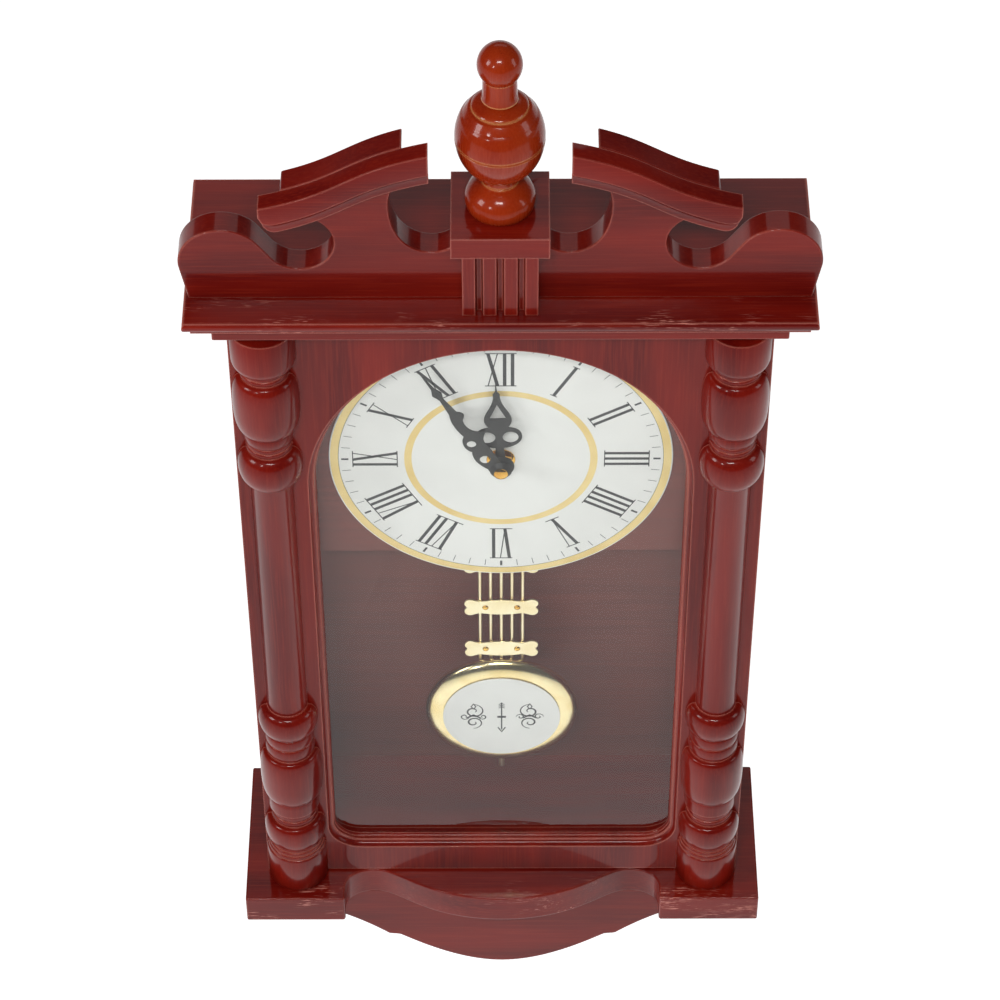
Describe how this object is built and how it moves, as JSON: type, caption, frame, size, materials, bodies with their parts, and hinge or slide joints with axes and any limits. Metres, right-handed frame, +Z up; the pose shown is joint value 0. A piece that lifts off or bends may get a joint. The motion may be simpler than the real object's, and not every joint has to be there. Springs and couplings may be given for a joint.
{
  "type": "pendulum wall clock",
  "caption": "Wooden wall clock case with scroll pediment, turned finial, glazed hinged door with split columns, round dial, hands and a swinging grid-rod pendulum.",
  "frame": {"origin": "the hang point: the top end of the keyhole slot, on the wall plane behind the hanging rail", "axes": "+Z up, +Y into the wall, so the dial faces -Y, +X to the right as seen from the front"},
  "size_m": [0.3324, 0.112, 0.762],
  "materials": {
    "mahogany_lacquer": "satin gloss lacquer over dark red stain",
    "finial_wood": "gloss lacquer over orange brown stain",
    "plain_pine": "planed, unfinished",
    "hardboard": "pressed board, stained",
    "zinc_steel": "zinc plated sheet",
    "brass_hardware": "polished and lacquered",
    "black_plastic": "fine spark texture",
    "gear_plastic": "moulded",
    "circuit_board": "solder mask",
    "copper_winding": "enamelled wire",
    "battery_jacket": "shrink sleeve",
    "dial_enamel": "satin white enamel with gold and grey print",
    "door_glass": "clear float glass",
    "hand_black": "satin black enamel",
    "gold_plate": "pale gold electroplate",
    "bob_brass": "spun and polished",
    "bob_disc_print": "printed enamel disc"
  },
  "bodies": {
    "case": {"cornice_top": "mahogany_lacquer", "cornice_sub_board": "mahogany_lacquer", "case_side_left": "mahogany_lacquer", "case_side_right": "mahogany_lacquer", "case_floor": "mahogany_lacquer", "hanging_rail": "plain_pine", "back_panel": "hardboard", "plinth": "mahogany_lacquer", "apron": "mahogany_lacquer", "pediment_board": "mahogany_lacquer", "scroll_moulding_left": "mahogany_lacquer", "scroll_moulding_right": "mahogany_lacquer", "pedestal_block": "mahogany_lacquer", "pedestal_cap": "mahogany_lacquer", "finial": "finial_wood", "hanger_plate": "zinc_steel", "catch_body": "black_plastic", "hinge_upper_case_leaf": "brass_hardware", "hinge_upper_pin": "brass_hardware", "hinge_lower_case_leaf": "brass_hardware", "hinge_lower_pin": "brass_hardware", "dial_board": "hardboard", "dial_plate": "dial_enamel", "movement_housing": "black_plastic", "movement_cover": "black_plastic", "mounting_washer": "brass_hardware", "mounting_nut": "brass_hardware", "circuit_board": "circuit_board", "motor_coil": "copper_winding", "battery": "battery_jacket"},
    "door": {"door_frame": "mahogany_lacquer", "door_glass": "door_glass", "glass_clip_upper_left": "zinc_steel", "glass_clip_lower_left": "zinc_steel", "glass_clip_upper_right": "zinc_steel", "glass_clip_lower_right": "zinc_steel", "column_left": "mahogany_lacquer", "column_right": "mahogany_lacquer", "strike_plate": "zinc_steel", "hinge_upper_door_leaf": "brass_hardware", "hinge_lower_door_leaf": "brass_hardware"},
    "hour": {"hour_hand": "hand_black", "hour_wheel": "gear_plastic"},
    "minute": {"minute_hand": "hand_black", "minute_arbor": "brass_hardware", "cap_nut": "brass_hardware"},
    "setting": {"setting_knob": "gear_plastic"},
    "pendulum": {"pendulum_lever": "gear_plastic", "pendulum_hanger": "gold_plate", "pendulum_rod_1": "gold_plate", "pendulum_rod_2": "gold_plate", "pendulum_rod_3": "gold_plate", "pendulum_rod_4": "gold_plate", "pendulum_rod_5": "gold_plate", "pendulum_crossbar_1": "gold_plate", "pendulum_crossbar_2": "gold_plate", "pendulum_crossbar_3": "gold_plate", "bob_shell": "bob_brass", "bob_disc": "bob_disc_print"}
  },
  "joints": [
    {"name": "door_hinge", "type": "hinge", "parent": "case", "child": "door", "pos_m": [0.1444, -0.065, -0.24], "axis": [0, 0, 1], "range_deg": [0, 110]},
    {"name": "minute_turn", "type": "hinge", "parent": "case", "child": "minute", "pos_m": [0, -0.06, -0.1172], "axis": [0, 1, 0], "continuous": true},
    {"name": "hour_turn", "type": "hinge", "parent": "case", "child": "hour", "pos_m": [0, -0.06, -0.1172], "axis": [0, 1, 0], "continuous": true},
    {"name": "setting_turn", "type": "hinge", "parent": "case", "child": "setting", "pos_m": [0, -0.03, -0.1032], "axis": [0, 1, 0], "continuous": true},
    {"name": "pendulum_swing", "type": "hinge", "parent": "case", "child": "pendulum", "pos_m": [0, -0.043, -0.1412], "axis": [0, 1, 0], "range_deg": [-4, 4]}
  ],
  "couplings": [
    {"joint": "hour_turn", "follows": "minute_turn", "ratio": 0.083333},
    {"joint": "setting_turn", "follows": "minute_turn", "ratio": -0.33333}
  ]
}
